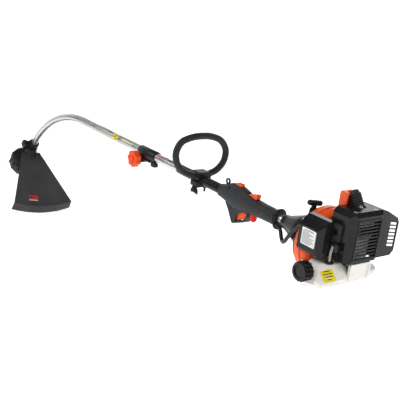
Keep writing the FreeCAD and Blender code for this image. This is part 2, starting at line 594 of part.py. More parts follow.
def build_tank():
    outer = soften(tank_form(0), 5, [UP]).cut(shroud_room(0))
    inside = tank_form(SKIN).cut(shroud_room(SKIN))
    neck = rod(17, V(CAP_CENTRE.x, 78, CAP_CENTRE.z), V(CAP_CENTRE.x, 93,
                                                        CAP_CENTRE.z)).common(above_ground(2.0))
    frame = soften(box((-247.5, -240.5), (-38, 24), (-72, -12)), 4, [ALONG]).common(above_ground(5.0))
    recess = soften(box((-260, -243.4), (-34, 20), (-68, -16)), 3, [ALONG])
    mouth = rod(13.5, V(CAP_CENTRE.x, 76, CAP_CENTRE.z), V(CAP_CENTRE.x, 94, CAP_CENTRE.z))
    hose_hole = rod(6, V(HOSE_X, HOSE_Y, SHOULDER_Z - 10), V(HOSE_X, HOSE_Y, SHOULDER_Z + 10))
    tank = fuse([outer, neck, frame])
    tank = cut(tank, [inside, mouth, hose_hole, recess.cut(above_ground(9.0).cut(recess))])
    pieces["fuel_tank"] = max(tank.Solids, key=lambda solid: solid.Volume)

    rib = rod(3.6, V(CAP_CENTRE.x, 88, CAP_CENTRE.z + CAP_R - 3.6),
              V(CAP_CENTRE.x, 109, CAP_CENTRE.z + CAP_R - 3.6))
    disc = rod(CAP_R - 2.2, V(CAP_CENTRE.x, 87, CAP_CENTRE.z), V(CAP_CENTRE.x, 111, CAP_CENTRE.z))
    cap = fuse([disc] + ring_of(rib, 14, CAP_CENTRE, LEFT))
    cap = cap.cut(rod(17 + GAP, V(CAP_CENTRE.x, 86, CAP_CENTRE.z), V(CAP_CENTRE.x, 93 + GAP, CAP_CENTRE.z)))
    plug = rod(13.5 - GAP, V(CAP_CENTRE.x, 84, CAP_CENTRE.z), V(CAP_CENTRE.x, 95, CAP_CENTRE.z))
    dish = rod(14, V(CAP_CENTRE.x, 108.5, CAP_CENTRE.z), V(CAP_CENTRE.x, 112, CAP_CENTRE.z))
    pieces["fuel_cap"] = cap.fuse(plug).cut(dish)

    grommet = turned([(-5, 0), (-5, 7.5), (-2.7, 7.5), (-2.7, 6 - PLAY), (0.1, 6 - PLAY), (0.1, 10), (4, 8),
                      (4, 0)],
                     V(HOSE_X, HOSE_Y, SHOULDER_Z), UP)
    pieces["tank_grommet"] = grommet.cut(rod(2.75 + PLAY, V(HOSE_X, HOSE_Y, -50), V(HOSE_X, HOSE_Y, 0)))


def build_hose():
    path = rounded_path([V(HOSE_X, HOSE_Y, SHOULDER_Z - 4), V(HOSE_X, HOSE_Y, SHOULDER_Z + 9),
                         V(-211, 53, 4), V(-211.5, 51, 15), V(-211, 48.5, 22.5)], "fuel hose")
    pieces["fuel_hose"] = swept_tube(path, 2.75, "fuel hose")


CABLE_R = 4.5


def cable_path():
    return rounded_path([V(4, 13, -12), V(-9, 13, -14), V(-19, 16, -21), V(-29, 21, -32), V(-42, 27, -38),
                         V(-56, 35, -29), V(-73, 43, -9), V(-92, 48.5, 12), V(-110, 55, 27),
                         V(-129 + GAP, 61, 40)], "throttle cable")


def build_cable():
    pieces["throttle_cable"] = swept_tube(cable_path(), CABLE_R, "throttle cable")


# ---------------------------------------------------------------- rear grip and its controls
# Stations of the grip's barrel: distance along the shaft, top, bottom and half width.
GRIP_STATIONS = [(16, 16.5, -20.5, 15.5), (33, 16.8, -20.7, 15.7), (50, 17.2, -21, 16),
                 (67, 17.6, -21.6, 16.3),
                 (84, 18.6, -22.5, 16.6), (101, 20.2, -23.5, 16.8), (118, 24, -25, 17),
                 (135, 29.5, -27.5, 17.3),
                 (152, 34, -30, 17.5), (169, 35.5, -30, 17.5), (186, 33, -27, 17.2), (203, 26.5, -22, 16.8),
                 (217, 20, -18.5, 16.2), (231, 17, -17, 15.8)]
SKIRT = [(200, -10), (200, -22), (187, -36), (176, -52), (168, -64), (163, -66), (122, -50), (112, -34),
         (108, -10)]
TRIGGER_WINDOW = [(154, -57), (151, -38), (130, -25), (113, -25), (116.5, -36), (126, -45.5)]


def grip_section(x, top, bottom, half):
    """One closed cross section of the grip: flat-sided and rounded."""
    middle = (top + bottom) / 2
    tall = (top - bottom) / 2
    points = []
    for step in range(24):
        angle = 2 * math.pi * step / 24
        across, up = math.cos(angle), math.sin(angle)
        points.append(V(x, half * math.copysign(abs(across) ** 0.8, across),
                        middle + tall * math.copysign(abs(up) ** 0.8, up)))
    curve = Part.BSplineCurve()
    curve.interpolate(points, PeriodicFlag=True)
    return Part.Wire(curve.toShape())


def grip_barrel(inset):
    sections = [grip_section(x, top - inset, bottom + inset, half - inset) for x, top, bottom,
                half in GRIP_STATIONS]
    return Part.makeLoft(sections, True, False)


TRIGGER_PIVOT = V(156, 0, -31)
LOCKOUT_PIVOT = V(122, 0, 17.5)
SWITCH_PIVOT = V(163, 0, 29)
LOCK_BUTTON_X = 98.0
LOCK_BUTTON_R = 9.0
GRIP_SCREWS = [(186, 22), (178, -30)]
TUBE_SCREW_X = 68.0           # a short screw through the left shell that bears on the tube


def build_grip():
    """Two half shells that meet in the shaft plane, hollow around the trigger."""
    skirt = soften(plate([V(x, -11, z) for x, z in SKIRT], V(0, 22, 0)), 3, [LEFT])
    outer = fuse([grip_barrel(0), skirt])
    hollow = grip_barrel(3.0).common(box((88, 196), (-14, 14), (-60, 50)))
    skirt_hollow = plate([V(x, -8, z) for x, z in [(172, -12), (160, -58), (157, -60), (124, -47),
                                                   (108, -12)]],
                         V(0, 16, 0))
    window = plate([V(x, -40, z) for x, z in TRIGGER_WINDOW], V(0, 80, 0))
    tools = [hollow, skirt_hollow, window, rod(TUBE_R, V(0, 0, 0), V(240, 0, 0)),
             box((86, 127), (-6.5, 6.5), (10, 45)),
             box((150, 175), (-7.5, 7.5), (22, 50)),
             rod(LOCK_BUTTON_R, V(LOCK_BUTTON_X, 0, -14), V(LOCK_BUTTON_X, 0, -50)),
             rod(2.0, V(TUBE_SCREW_X, 0, 1), V(TUBE_SCREW_X, 30, 1)),
             rod(3.8, V(TUBE_SCREW_X, 15.2, 1), V(TUBE_SCREW_X, 30, 1)),
             box((206, 218), (-2 - PLAY, 2 + PLAY), (10, 45))]
    tools += [rod(2.0, V(x, -30, z), V(x, 30, z)) for x, z in GRIP_SCREWS]
    tools += [rod(3.8, V(x, 9.5, z), V(x, 30, z)) for x, z in GRIP_SCREWS]
    pins = [rod(2.4, pivot - LEFT * reach, pivot + LEFT * reach)
            for pivot, reach in ((TRIGGER_PIVOT, 10.0), (LOCKOUT_PIVOT, 11.5), (SWITCH_PIVOT, 9.5))]
    grip = cut(outer, tools).fuse(pins)
    pieces["grip_left_shell"] = grip.common(box((-10, 260), (0, 40), (-90, 70)))
    pieces["grip_right_shell"] = grip.common(box((-10, 260), (-40, 0), (-90, 70)))
    screws = [socket_screw(V(x, 9.5, z), V(0, -1, 0), 17, 1.9, 3.6, 2.4) for x, z in GRIP_SCREWS]
    screws.append(socket_screw(V(TUBE_SCREW_X, 15.2, 1), V(0, -1, 0), 3.1, 1.9, 3.6, 2.4))
    pieces["grip_screws"] = Part.makeCompound(screws)

    lip = [grip_section(x, 17 + grow, -21 - grow, 14 + grow * 0.9) for x,
           grow in ((3.5, 3), (5, 6), (9, 6.5), (16 - GAP, 0))]
    flange = Part.makeLoft(lip, True, True)
    pieces["grip_flange"] = flange.cut(rod(TUBE_R + PLAY, V(0, 0, 0), V(20, 0, 0))).cut(rod(4.6,
                                                                                            V(0, 13, -12),
                                                                                            V(20, 13, -12)))


def lever(side_outline, half_width, pivot, round_radius=2.0):
    """A pressed lever: an outline in the shaft plane, bored for its pivot pin."""
    body = plate([V(x, -half_width, z) for x, z in side_outline], V(0, 2 * half_width, 0))
    body = soften(body, round_radius, [LEFT])
    bored = body.fuse(rod(5, pivot + V(0, -half_width, 0), pivot + V(0, half_width, 0)))
    return bored.cut(rod(2.4 + PLAY, pivot + V(0, -20, 0), pivot + V(0, 20, 0)))


def build_controls():
    trigger = [(160, -37), (157, -26), (138, -23), (116, -29), (118.5, -36.5), (127, -43), (151, -54.5),
               (156, -50)]
    pieces["throttle_trigger"] = lever(trigger, 6.5, TRIGGER_PIVOT)
    lockout = [(125, 13.5), (122, 24), (106, 28), (90, 32), (87, 28), (90, 19), (112, 13.2)]
    pieces["lockout_lever"] = lever(lockout, 6, LOCKOUT_PIVOT, 1.2)
    switch = [(174, 33), (170, 38.5), (163, 37), (156, 39.5), (152, 33), (158, 26), (168, 26)]
    pieces["stop_switch"] = lever(switch, 7, SWITCH_PIVOT, 1.2)
    button = fuse([rod(LOCK_BUTTON_R - GAP, V(LOCK_BUTTON_X, 0, -20), V(LOCK_BUTTON_X, 0, -33)),
                   Part.makeSphere(LOCK_BUTTON_R - GAP, V(LOCK_BUTTON_X, 0, -33))])
    pieces["throttle_lock_button"] = button.cut(rod(TUBE_R + 6, V(80, 0, 0), V(120, 0, 0)))


EYE_BORE_R = 4.5
EYE_Z = 30.0


def build_hanging_ring():
    """The eyelet for a shoulder strap, its foot held between the two grip halves."""
    foot = box((207, 217), (-2, 2), (TUBE_R + 0.2, 29))
    eye = rod(8, V(212, -2, EYE_Z), V(212, 2, EYE_Z))
    pieces["hanging_ring"] = foot.fuse(eye).cut(rod(EYE_BORE_R, V(212, -5, EYE_Z), V(212, 5, EYE_Z)))


# ---------------------------------------------------------------- loop handle
LOOP_TUBE_R = 9.0
LOOP_OUTLINE = [(24, 12), (57, 22), (83, 46), (91, 78), (77, 107), (37, 119), (-15, 119), (-55, 106),
                (-77, 76), (-72, 42), (-48, 19), (-18, 12)]
LOOP_BOLT_Y = 17.0


def build_loop_handle():
    centre = V(LOOP_X, 0, 0)
    points = [centre + V(0, y, z) for y, z in LOOP_OUTLINE]
    path = rounded_path(points, "loop handle")
    start, end = points[0], points[-1]
    loop = swept_tube(path, LOOP_TUBE_R, "loop handle")
    bridge = box((LOOP_X - 7, LOOP_X + 7), (end.y - 2, start.y + 2), (9, 19.5))
    pieces["loop_handle"] = fuse([loop, bridge]).cut(rod(SLEEVE_R + 2, V(LOOP_X - 40, 0, 0),
                                                         V(LOOP_X + 40, 0, 0)))

    sleeve_bore = rod(SLEEVE_R + PLAY, V(LOOP_X - 40, 0, 0), V(LOOP_X + 40, 0, 0))
    bolt_holes = [rod(3.1, V(LOOP_X, side, -40), V(LOOP_X, side, 10)) for side in (-LOOP_BOLT_Y, LOOP_BOLT_Y)]
    top = soften(box((LOOP_X - 17, LOOP_X + 17), (-22, 22), (0.75, 23)), 7, [ALONG])
    pieces["loop_clamp_upper"] = cut(soften(top, 2, [LEFT]),
                                     [sleeve_bore, pieces["loop_handle"]] + bolt_holes)
    low = soften(box((LOOP_X - 13, LOOP_X + 13), (-23, 23), (-19, -0.75)), 6, [ALONG])
    pieces["loop_clamp_lower"] = cut(low, [sleeve_bore] + bolt_holes)
    left_bolt, right_bolt = [rod(2.9, V(LOOP_X, side, -36), V(LOOP_X, side, 2.6)) for side in (LOOP_BOLT_Y,
                                                                                               -LOOP_BOLT_Y)]
    right_nut = rod(5.5, V(LOOP_X, -LOOP_BOLT_Y, -19 - PLAY), V(LOOP_X, -LOOP_BOLT_Y, -25))
    pieces["loop_clamp_bolts"] = Part.makeCompound([left_bolt, right_bolt.fuse(right_nut)])
    pieces["loop_wing_nut"] = wing_nut(V(LOOP_X, LOOP_BOLT_Y, -19 - GAP))


def wing_nut(seat):
    barrel = rod(7.5, seat, seat + V(0, 0, -14))
    wing = plate([seat + V(4, -2.8, -2), seat + V(13, -2.8, -8), seat + V(13, -2.8, -19),
                  seat + V(3, -2.8, -13)],
                 V(0, 5.6, 0))
    return fuse([barrel, wing, wing.mirror(seat, ALONG)]).cut(rod(2.9 + PLAY, seat + V(0, 0, 1),
                                                                  seat + V(0, 0, -30)))


# ---------------------------------------------------------------- guard and cutting head
GUARD_TILT = math.radians(91.5)      # between the head axis and the guard's sheet
GUARD_START = 14.0                   # the sheet begins this far from the head axis, along its slope
GUARD_LENGTH = 246.0
GUARD_CONVERGE = 108.0               # the sheet's sides meet this far above its beginning
GUARD_HALF_ANGLE = 18.8              # degrees about the axis of the sheet's cone
GUARD_TWIST = 4.5                    # degrees about the head axis
GUARD_T = 3.0
CUTTER_TURN = -6.0                   # degrees from the sheet's middle to the line cutter
LIP_HEIGHT = 38.0
LIP_TURN = math.radians(11.0)        # the lip flares out this much from the head axis


def guard_ruling(distance, offset=0.0):
    """A point in the middle plane of the sheet, by the distance from the head axis along its slope."""
    direction = HEAD_AXIS * math.cos(GUARD_TILT) + HEAD_SIDE * math.sin(GUARD_TILT)
    normal = HEAD_AXIS * math.sin(GUARD_TILT) - HEAD_SIDE * math.cos(GUARD_TILT)
    return on_head(0.0) + direction * distance + normal * offset


def swung(profile, half_angle):
    """Swing a closed profile about the sheet's cone axis through plus and minus the half angle."""
    centre = guard_ruling(GUARD_START - GUARD_CONVERGE)
    solid = outline_face(profile).revolve(centre, HEAD_AXIS, 2 * half_angle)
    solid.rotate(centre, HEAD_AXIS, -half_angle)
    return solid


def build_guard():
    lip_direction = HEAD_AXIS * math.cos(LIP_TURN) + HEAD_SIDE * math.sin(LIP_TURN)
    lip_normal = HEAD_SIDE * math.cos(LIP_TURN) - HEAD_AXIS * math.sin(LIP_TURN)
    end = GUARD_START + GUARD_LENGTH
    edge = guard_ruling(end)
    sheet = [guard_ruling(GUARD_START), edge, edge + lip_direction * LIP_HEIGHT,
             edge + lip_direction * LIP_HEIGHT - lip_normal * GUARD_T, guard_ruling(end - GUARD_T, GUARD_T),
             guard_ruling(GUARD_START, GUARD_T)]
    skin = swung(sheet, GUARD_HALF_ANGLE)
    collar = pipe(21, TUBE_R + PLAY, on_head(-26), on_head(1.5))
    ribs = [plate([on_head(-24, 19, side), guard_ruling(17, 1) + LEFT * side,
                   guard_ruling(46, 1) + LEFT * side],
                  LEFT * 3.0) for side in (-16, 13)]
    guard = fuse([skin, collar] + ribs).cut(rod(TUBE_R + PLAY, on_head(-80), on_head(80)))
    guard.rotate(on_head(0), HEAD_AXIS, GUARD_TWIST)
    pieces["guard"] = guard.common(above_ground(0.0))
    blade = [guard_ruling(end - 30, GUARD_T + 0.1), guard_ruling(end - GUARD_T - 0.2, GUARD_T + 0.1),
             guard_ruling(end - GUARD_T - 0.2, GUARD_T + 16), guard_ruling(end - 26, GUARD_T + 10)]
    cutter = swung(blade, 0.2)
    cutter.rotate(guard_ruling(GUARD_START - GUARD_CONVERGE), HEAD_AXIS, CUTTER_TURN)
    cutter.rotate(on_head(0), HEAD_AXIS, GUARD_TWIST)
    pieces["line_cutter"] = cutter


# ---------------------------------------------------------------- guard fixings and cutting head
GUARD_BOLT_LEFT = 32.0


def build_guard_fixings():
    """The clamp that holds the guard's collar on the tube, with its bolt through two ears."""
    half = pipe(19, TUBE_R + PLAY, on_head(-54), on_head(-26 - GAP))
    ears = plate([on_head(-53, -12, 8), on_head(-27, -12, 8), on_head(-27, -12, 38), on_head(-34, -12, 45),
                  on_head(-46, -12, 45), on_head(-53, -12, 38)], HEAD_SIDE * 24)
    slit = plate([on_head(-60, -1, 8), on_head(-20, -1, 8), on_head(-20, -1, 50), on_head(-60, -1, 50)],
                 HEAD_SIDE * 2)
    clear = [rod(TUBE_R + PLAY, on_head(-60), on_head(0)), slit,
             rod(3.0 + PLAY, on_head(-40, -20, GUARD_BOLT_LEFT), on_head(-40, 20, GUARD_BOLT_LEFT))]
    pieces["guard_clamp"] = cut(soften(fuse([half, ears]), 2, [HEAD_SIDE]), clear)
    bolt = rod(3.0, on_head(-40, -14, GUARD_BOLT_LEFT), on_head(-40, 17, GUARD_BOLT_LEFT))
    head = rod(9.0, on_head(-40, -12 - PLAY, GUARD_BOLT_LEFT), on_head(-40, -20, GUARD_BOLT_LEFT))
    nut = rod(5.8, on_head(-40, 12 + PLAY, GUARD_BOLT_LEFT), on_head(-40, 16.5, GUARD_BOLT_LEFT))
    pieces["guard_bolt"] = fuse([bolt, head, nut])


HEAD_R = 56.0
HEAD_GAP = 21.0              # bare spindle between the tube's end and the head


def on_spin(along, across=0.0):
    """A point of the spinning head: along its axis, and across it towards the left."""
    return on_head(HEAD_GAP + along, 0.0, across)


def build_head():
    """Housing, spool, line and bump knob, which spin about the head axis."""
    base = on_spin(0)
    housing = [(8, 0), (8, 15), (24, 17), (30, 38), (36, HEAD_R - 4), (40, HEAD_R), (78, HEAD_R),
               (82, HEAD_R - 3),
               (82, HEAD_R - 7), (44, HEAD_R - 5), (40, HEAD_R - 9), (34, 14), (34, 0)]
    grips = ring_of(rod(4, on_spin(46, HEAD_R), on_spin(76, HEAD_R)), 12, base, HEAD_AXIS, 15)
    eyelets = [rod(3.2, on_spin(60, HEAD_R - 12), on_spin(60, HEAD_R + 8)),
               rod(3.2, on_spin(60, -HEAD_R - 8), on_spin(60, -HEAD_R + 12))]
    pieces["head_housing"] = cut(fuse([turned(housing, base, HEAD_AXIS)] + grips),
                                 eyelets + [rod(5.0 + PLAY, on_spin(-1), on_spin(36))])
    pieces["head_spindle"] = fuse([rod(5.0, on_head(0.5), on_spin(62)),
                                   rod(8.5, on_head(0.5), on_spin(8 - PLAY))])
    spool = [(45, 5.0 + PLAY), (45, 40), (47, 40), (47, 18), (73, 18), (73, 40), (75, 40), (75, 5.0 + PLAY)]
    pieces["line_spool"] = turned(spool, base, HEAD_AXIS)
    coil = turned([(48, 18 + PLAY), (48, 35), (72, 35), (72, 18 + PLAY)], base, HEAD_AXIS)
    tails = [rod(1.2, on_spin(60, 34.5 * side), on_spin(60, 118 * side)) for side in (1, -1)]
    pieces["trimmer_line"] = fuse([coil] + tails)
    knob = [(79.5, 0), (79.5, 28), (87, 28), (89, 32), (95, 31), (102, 22), (105, 11), (105, 0)]
    pieces["bump_knob"] = turned(knob, base, HEAD_AXIS)


def build_all():
    build_shaft()
    build_coupler()
    build_drive()
    build_crank()
    build_starter()
    build_clutch_housing()
    build_fan_shroud()
    build_engine_core()
    build_plug()
    build_cylinder_cover()
    build_exhaust()
    build_intake()
    build_tank()
    build_hose()
    build_cable()
    build_grip()
    build_controls()
    build_hanging_ring()
    build_loop_handle()
    build_guard()
    build_guard_fixings()
    build_head()


def in_row_frame(shape, shift):
    """Lean the shaft, then move the shape by the shift that stands the machine on the origin."""
    moved = shape.copy()
    moved.rotate(ORIGIN, LEFT, -SHAFT_LEAN)
    moved.translate(shift)
    return moved


def standing_shift():
    """The shift that brings the bottom centre of the whole machine to the origin."""
    bounds = in_row_frame(Part.makeCompound(list(pieces.values())), ORIGIN).optimalBoundingBox(False)
    return V(-(bounds.XMin + bounds.XMax) / 2, -(bounds.YMin + bounds.YMax) / 2, -bounds.ZMin)


build_all()
SHIFT = standing_shift()
os.makedirs("parts", exist_ok=True)
for name, shape in pieces.items():
    placed = in_row_frame(shape, SHIFT)
    placed.exportStep(os.path.join("parts", name + ".step"))
    print(name, "valid" if placed.isValid() else "BROKEN", len(placed.Solids), "solids",
          round(placed.Volume), "mm3")
print(len(pieces), "pieces, shift", [round(value, 3) for value in SHIFT])
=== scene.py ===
import json
import math

import bmesh
import bpy
from mathutils import Matrix, Vector


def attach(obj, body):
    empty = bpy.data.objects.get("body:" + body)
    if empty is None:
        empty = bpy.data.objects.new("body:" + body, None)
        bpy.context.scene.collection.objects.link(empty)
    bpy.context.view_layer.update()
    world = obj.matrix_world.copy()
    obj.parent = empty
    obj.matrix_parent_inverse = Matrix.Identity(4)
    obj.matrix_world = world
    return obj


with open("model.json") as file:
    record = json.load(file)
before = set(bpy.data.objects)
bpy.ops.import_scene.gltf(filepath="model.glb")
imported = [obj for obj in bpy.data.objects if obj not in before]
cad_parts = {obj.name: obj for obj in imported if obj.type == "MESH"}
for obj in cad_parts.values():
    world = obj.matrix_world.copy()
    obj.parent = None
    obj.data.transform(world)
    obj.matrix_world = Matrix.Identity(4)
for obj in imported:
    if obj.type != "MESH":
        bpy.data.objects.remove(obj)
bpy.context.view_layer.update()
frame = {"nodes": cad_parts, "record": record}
NODES = frame["nodes"]

# ---------------------------------------------------------------- the shaft frame
# Places on the machine are given in millimetres along the straight shaft (x), to the operator's left (y)
# and square to both (z), as the CAD model has them. place() turns them into the row frame in metres.
MM = 0.001
SHAFT_LEAN = math.radians(13.5)
LEAN = Matrix.Rotation(-SHAFT_LEAN, 3, "Y")
TUBE_R = 12.0
HANGING_EYE = Vector((212, 0, 30))
EYE_PLACE = next(mount["pos_m"] for mount in frame["record"]["mounts"] if mount["name"] == "hanging_eye")
SHAFT_ORIGIN = Vector(EYE_PLACE) - LEAN @ HANGING_EYE * MM


def place(x, y, z):
    return LEAN @ Vector((x, y, z)) * MM + SHAFT_ORIGIN


# ---------------------------------------------------------------- camera, light and floor
SENSOR_WIDTH, LENS = 36.0, 64.8
FAR_CLIP = 60.0
CAMERA_FROM_ORIGIN = Vector((-1.243, 1.127, 0.249))
CAMERA_FORWARD = Vector((0.807, -0.580, -0.118)).normalized()
CAMERA_RIGHT = Vector((-0.587, -0.810, -0.027))
ROOM_LIGHT = 0.17
FLOOR_REACH = 9.0
FLOOR_RISE_FROM = 5.0               # where the floor starts to bend up into a wall
FLOOR_BEND_R = 1.2
FLOOR_BEND_STEPS = 8
WALL_TOP = 6.0
FLOOR_TURN = math.radians(-35.7)    # the wall stands square to the camera's heading
FLOOR_DROP = 0.0005
FLOOR_GLOW = 0.66


def make_camera():
    data = bpy.data.cameras.new("camera")
    data.sensor_width = SENSOR_WIDTH
    data.lens = LENS
    data.clip_end = FAR_CLIP
    camera = bpy.data.objects.new("camera", data)
    bpy.context.scene.collection.objects.link(camera)
    up = CAMERA_RIGHT.cross(CAMERA_FORWARD).normalized()
    right = CAMERA_FORWARD.cross(up)
    turn = Matrix((right, up, -CAMERA_FORWARD)).transposed().to_4x4()
    camera.matrix_world = Matrix.Translation(SHAFT_ORIGIN + CAMERA_FROM_ORIGIN) @ turn
    bpy.context.scene.camera = camera


def area_light(name, spot, target, size, power):
    data = bpy.data.lights.new(name, "AREA")
    data.shape = "RECTANGLE"
    data.size, data.size_y = size
    data.energy = power
    lamp = bpy.data.objects.new(name, data)
    bpy.context.scene.collection.objects.link(lamp)
    lamp.location = spot
    lamp.rotation_euler = (Vector(target) - Vector(spot)).to_track_quat("-Z", "Y").to_euler()


def make_world():
    """White where the camera sees past the floor, and a dim room for the light and the reflections."""
    world = bpy.data.worlds.new("studio")
    bpy.context.scene.world = world
    world.use_nodes = True
    tree = world.node_tree
    room = tree.nodes["Background"]
    room.inputs["Color"].default_value = (0.92, 0.95, 1.0, 1)
    room.inputs["Strength"].default_value = ROOM_LIGHT
    backdrop = tree.nodes.new("ShaderNodeBackground")
    backdrop.inputs["Color"].default_value = (1, 1, 1, 1)
    ray = tree.nodes.new("ShaderNodeLightPath")
    mix = tree.nodes.new("ShaderNodeMixShader")
    tree.links.new(ray.outputs["Is Camera Ray"], mix.inputs["Fac"])
    tree.links.new(room.outputs["Background"], mix.inputs[1])
    tree.links.new(backdrop.outputs["Background"], mix.inputs[2])
    tree.links.new(mix.outputs["Shader"], tree.nodes["World Output"].inputs["Surface"])
    bpy.context.scene.view_settings.view_transform = "Standard"


def make_studio():
    area_light("key", (-1.3, 2.2, 2.9), (-0.5, 0, 0.15), (1.6, 1.2), 44)
    area_light("front", (1.3, 2.4, 2.6), (0.6, 0, 0.2), (1.6, 1.2), 36)
    area_light("rim", (0.2, -2.8, 2.2), (-0.3, 0, 0.2), (3.0, 0.7), 12)
    area_light("rear", (-3.2, -0.4, 1.5), (-0.85, 0, 0.15), (0.9, 1.5), 17)
    make_floor()


def make_floor():
    """A pale floor that bends up into a wall far behind the object."""
    profile = [(-FLOOR_REACH, 0.0), (FLOOR_RISE_FROM, 0.0)]
    for step in range(1, FLOOR_BEND_STEPS + 1):
        angle = math.pi / 2 * step / FLOOR_BEND_STEPS
        profile.append((FLOOR_RISE_FROM + FLOOR_BEND_R * math.sin(angle),
                        FLOOR_BEND_R * (1 - math.cos(angle))))
    profile.append((FLOOR_RISE_FROM + FLOOR_BEND_R, WALL_TOP))
    turn = Matrix.Rotation(FLOOR_TURN, 4, "Z")
    verts, faces = [], []
    for run, height in profile:
        verts += [turn @ Vector((run, side, height)) for side in (-FLOOR_REACH, FLOOR_REACH)]
    for number in range(len(profile) - 1):
        first = number * 2
        faces.append((first, first + 1, first + 3, first + 2))
    mesh = bpy.data.meshes.new("floor")
    mesh.from_pydata([tuple(v) for v in verts], [], faces)
    mesh.shade_smooth()
    floor = bpy.data.objects.new("floor", mesh)
    bpy.context.scene.collection.objects.link(floor)
    floor.location.z = -FLOOR_DROP
    paper = surface("floor_paper", (0.95, 0.95, 0.95), 0.85, grain=(900, 0.02), mottle=(4, 0.01),
                    shader={"Emission Color": (1, 1, 1, 1), "Emission Strength": FLOOR_GLOW})
    floor.data.materials.append(paper)


# ---------------------------------------------------------------- materials
PLAIN_SHINE = 0.5
DULL_SHINE = 0.2       # deep and strong colours mirror less of the bright room, so they keep their tone
DULL_BELOW = 0.06      # a colour is one of those when its weakest channel is under this
FINE_BUMP_DEPTH = 0.0006
COARSE_BUMP_DEPTH = 0.001


def surface(name, colour, rough, metal=0.0, grain=(1500, 0.12), mottle=(18, 0.10), wear=None, stretch=None,
            rough_spread=0.10, shader=None, pits=None):
    """A procedural finish. grain is (scale, bump strength), mottle is (scale, how much the colour drifts),
    wear is (colour, scale, amount) for scuffs, pits is (scale, strength) of a coarse moulded texture,
    stretch scales the noise along the shaft, and shader holds constant sockets of the Principled shader."""
    material = bpy.data.materials.new(name)
    material.use_nodes = True
    tree = material.node_tree
    nodes, links = tree.nodes, tree.links
    principled = nodes["Principled BSDF"]
    principled.inputs["Metallic"].default_value = metal
    shine = DULL_SHINE if min(colour) < DULL_BELOW else PLAIN_SHINE
    principled.inputs["Specular IOR Level"].default_value = shine
    for socket, value in (shader or {}).items():
        principled.inputs[socket].default_value = value

    where = nodes.new("ShaderNodeTexCoord")
    mapping = nodes.new("ShaderNodeMapping")
    mapping.inputs["Rotation"].default_value = (0, SHAFT_LEAN, 0)
    mapping.inputs["Scale"].default_value = stretch or (1, 1, 1)
    links.new(where.outputs["Object"], mapping.inputs["Vector"])

    def noise(scale, detail, roughness=0.55):
        node = nodes.new("ShaderNodeTexNoise")
        node.inputs["Scale"].default_value = scale
        node.inputs["Detail"].default_value = detail
        node.inputs["Roughness"].default_value = roughness
        links.new(mapping.outputs["Vector"], node.inputs["Vector"])
        return node.outputs["Fac"]

    def ramp(value, low, high, start=0.0, end=1.0):
        node = nodes.new("ShaderNodeMapRange")
        node.inputs["From Min"].default_value = start
        node.inputs["From Max"].default_value = end
        node.inputs["To Min"].default_value = low
        node.inputs["To Max"].default_value = high
        links.new(value, node.inputs["Value"])
        return node.outputs["Result"]

    def blend(kind, amount, first, second):
        node = nodes.new("ShaderNodeMix")
        node.data_type = "RGBA"
        node.blend_type = kind
        links.new(amount, node.inputs["Factor"])
        for socket, given in ((node.inputs[6], first), (node.inputs[7], second)):
            if isinstance(given, tuple):
                socket.default_value = (*given, 1)
            else:
                links.new(given, socket)
        return node.outputs[2]

    drift = mottle[1]
    darker = tuple(channel * (1 - drift) for channel in colour)
    lighter = tuple(min(1.0, channel * (1 + drift) + 0.004) for channel in colour)
    tone = blend("MIX", ramp(noise(mottle[0], 5), 0, 1, 0.3, 0.7), darker, lighter)
    speckle = noise(grain[0] * 0.4, 2)
    tone = blend("MULTIPLY", ramp(speckle, 0.0, 0.35, 0.35, 0.75), tone, darker)
    level = ramp(noise(mottle[0] * 3.1, 4), rough - rough_spread, min(1.0, rough + rough_spread), 0.3, 0.7)
    if wear:
        scuff_colour, scale, amount = wear
        scuffs = ramp(noise(scale, 8, 0.75), 0.0, amount, 0.60, 0.72)
        tone = blend("MIX", scuffs, tone, scuff_colour)
        more = nodes.new("ShaderNodeMath")
        more.operation = "ADD"
        more.use_clamp = True
        links.new(level, more.inputs[0])
        links.new(ramp(scuffs, 0, 0.25), more.inputs[1])
        level = more.outputs[0]
    links.new(tone, principled.inputs["Base Color"])
    links.new(level, principled.inputs["Roughness"])

    bump = nodes.new("ShaderNodeBump")
    bump.inputs["Strength"].default_value = grain[1]
    bump.inputs["Distance"].default_value = FINE_BUMP_DEPTH
    links.new(noise(grain[0], 3), bump.inputs["Height"])
    if pits:
        coarse = nodes.new("ShaderNodeBump")
        coarse.inputs["Strength"].default_value = pits[1]
        coarse.inputs["Distance"].default_value = COARSE_BUMP_DEPTH
        links.new(noise(pits[0], 4), coarse.inputs["Height"])
        links.new(bump.outputs["Normal"], coarse.inputs["Normal"])
        links.new(coarse.outputs["Normal"], principled.inputs["Normal"])
    else:
        links.new(bump.outputs["Normal"], principled.inputs["Normal"])
    return material


ALONG_TUBE = (0.06, 1, 1)
SCUFF = (0.16, 0.16, 0.16)
LABEL_FINISHES = {  # colour, roughness and mottle
    "label_white": ((0.82, 0.82, 0.80), 0.40, (50, 0.05)),
    "label_yellow": ((0.86, 0.72, 0.03), 0.40, (60, 0.07)),
    "label_pale": ((0.80, 0.74, 0.36), 0.42, (60, 0.07)),
    "label_red": ((0.62, 0.02, 0.018), 0.42, (60, 0.1)),
    "label_beige": ((0.58, 0.50, 0.34), 0.42, (60, 0.1)),
    "label_ink": ((0.05, 0.045, 0.04), 0.45, (60, 0.2)),
}


